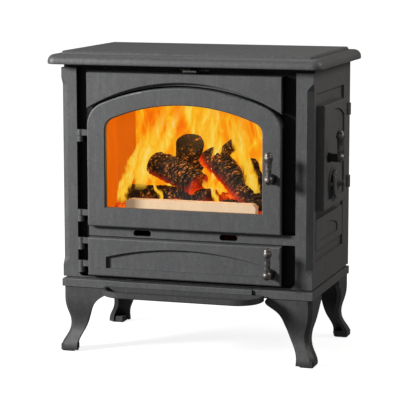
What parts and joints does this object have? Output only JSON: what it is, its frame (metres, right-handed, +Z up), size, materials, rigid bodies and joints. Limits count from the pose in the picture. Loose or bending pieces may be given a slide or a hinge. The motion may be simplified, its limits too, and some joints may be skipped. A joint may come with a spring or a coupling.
{
  "type": "wood burning stove",
  "caption": "Free-standing cast-iron wood burning stove with an arched glazed door, ash door, side loading door, ash lip, cabriole legs and a rear flue collar.",
  "frame": {"origin": "middle of the overall box, on the floor", "axes": "+Z up, -Y towards the front doors, +X towards the loading door (the right, seen from the front)"},
  "size_m": [0.6976, 0.501, 0.72],
  "materials": {
    "cast_iron_body": "matt graphite grey stove paint",
    "cast_iron_door": "matt graphite grey stove paint",
    "bare_iron": "heat-darkened",
    "fire_board": "pressed mineral board",
    "handle_steel": "antique pewter",
    "black_steel": "black",
    "steel_fixings": "blackened",
    "sheet_steel": "mill finish",
    "window_glass": "clear heat-proof",
    "rope_seal": "woven glass rope"
  },
  "bodies": {
    "stove": {"arch_hood": "cast_iron_body", "ash_lip": "cast_iron_body", "ash_lip_screws": "steel_fixings", "ash_pan": "sheet_steel", "back_panel": "cast_iron_body", "baffle_plate": "bare_iron", "base_frame": "cast_iron_body", "brick_left": "fire_board", "brick_rear": "fire_board", "brick_right": "fire_board", "fire_grate": "bare_iron", "flue_bolts": "steel_fixings", "flue_collar": "cast_iron_body", "flue_gasket": "rope_seal", "front_frame": "cast_iron_body", "hearth_plate": "bare_iron", "hood_screws": "steel_fixings", "left_side_panel": "cast_iron_body", "leg_bolts": "steel_fixings", "leg_front_left": "cast_iron_body", "leg_front_right": "cast_iron_body", "leg_rear_left": "cast_iron_body", "leg_rear_right": "cast_iron_body", "log_retainer": "fire_board", "right_side_panel": "cast_iron_body", "tie_rods": "steel_fixings", "top_plate": "cast_iron_body"},
    "front_door": {"front_door": "cast_iron_door", "front_glass": "window_glass", "glass_seal": "rope_seal", "glass_clips": "steel_fixings", "glass_screws": "steel_fixings", "front_door_seal": "rope_seal", "front_hinge_pins": "steel_fixings"},
    "front_handle": {"front_handle_grip": "handle_steel", "front_handle_neck": "black_steel", "front_spindle": "steel_fixings", "front_latch_cam": "steel_fixings", "front_latch_nut": "steel_fixings"},
    "ash_door": {"ash_door": "cast_iron_door", "ash_door_seal": "rope_seal", "ash_hinge_pins": "steel_fixings"},
    "ash_handle": {"ash_handle_grip": "handle_steel", "ash_handle_neck": "black_steel", "ash_spindle": "steel_fixings", "ash_latch_cam": "steel_fixings", "ash_latch_nut": "steel_fixings"},
    "side_door": {"side_door": "cast_iron_door", "side_door_seal": "rope_seal", "side_hinge_pins": "steel_fixings"},
    "side_handle": {"side_handle_grip": "handle_steel", "side_handle_neck": "black_steel", "side_spindle": "steel_fixings", "side_latch_cam": "steel_fixings", "side_latch_nut": "steel_fixings"},
    "air_disc": {"air_disc": "cast_iron_door", "air_disc_stud": "steel_fixings"},
    "air_slide": {"air_slide": "handle_steel"}
  },
  "joints": [
    {"name": "front_door_hinge", "type": "hinge", "parent": "stove", "child": "front_door", "pos_m": [-0.27136, -0.1795, 0.428], "axis": [0, 0, -1], "range_deg": [0, 110]},
    {"name": "ash_door_hinge", "type": "hinge", "parent": "stove", "child": "ash_door", "pos_m": [-0.27136, -0.1795, 0.238], "axis": [0, 0, -1], "range_deg": [0, 110]},
    {"name": "side_door_hinge", "type": "hinge", "parent": "stove", "child": "side_door", "pos_m": [0.31024, 0.0855, 0.491], "axis": [0, 0, 1], "range_deg": [0, 110]},
    {"name": "front_handle_turn", "type": "hinge", "parent": "front_door", "child": "front_handle", "pos_m": [0.19824, -0.1875, 0.439], "axis": [0, 1, 0], "range_deg": [0, 90]},
    {"name": "ash_handle_turn", "type": "hinge", "parent": "ash_door", "child": "ash_handle", "pos_m": [0.19624, -0.1875, 0.219], "axis": [0, 1, 0], "range_deg": [0, 90]},
    {"name": "side_handle_turn", "type": "hinge", "parent": "side_door", "child": "side_handle", "pos_m": [0.31024, -0.1045, 0.483], "axis": [1, 0, 0], "range_deg": [0, 90]},
    {"name": "air_disc_turn", "type": "hinge", "parent": "side_door", "child": "air_disc", "pos_m": [0.31624, -0.0495, 0.417], "axis": [1, 0, 0], "range_deg": [-360, 360]},
    {"name": "air_slide_travel", "type": "slide", "parent": "stove", "child": "air_slide", "axis": [1, 0, 0], "range_m": [-0.03, 0.03]}
  ]
}
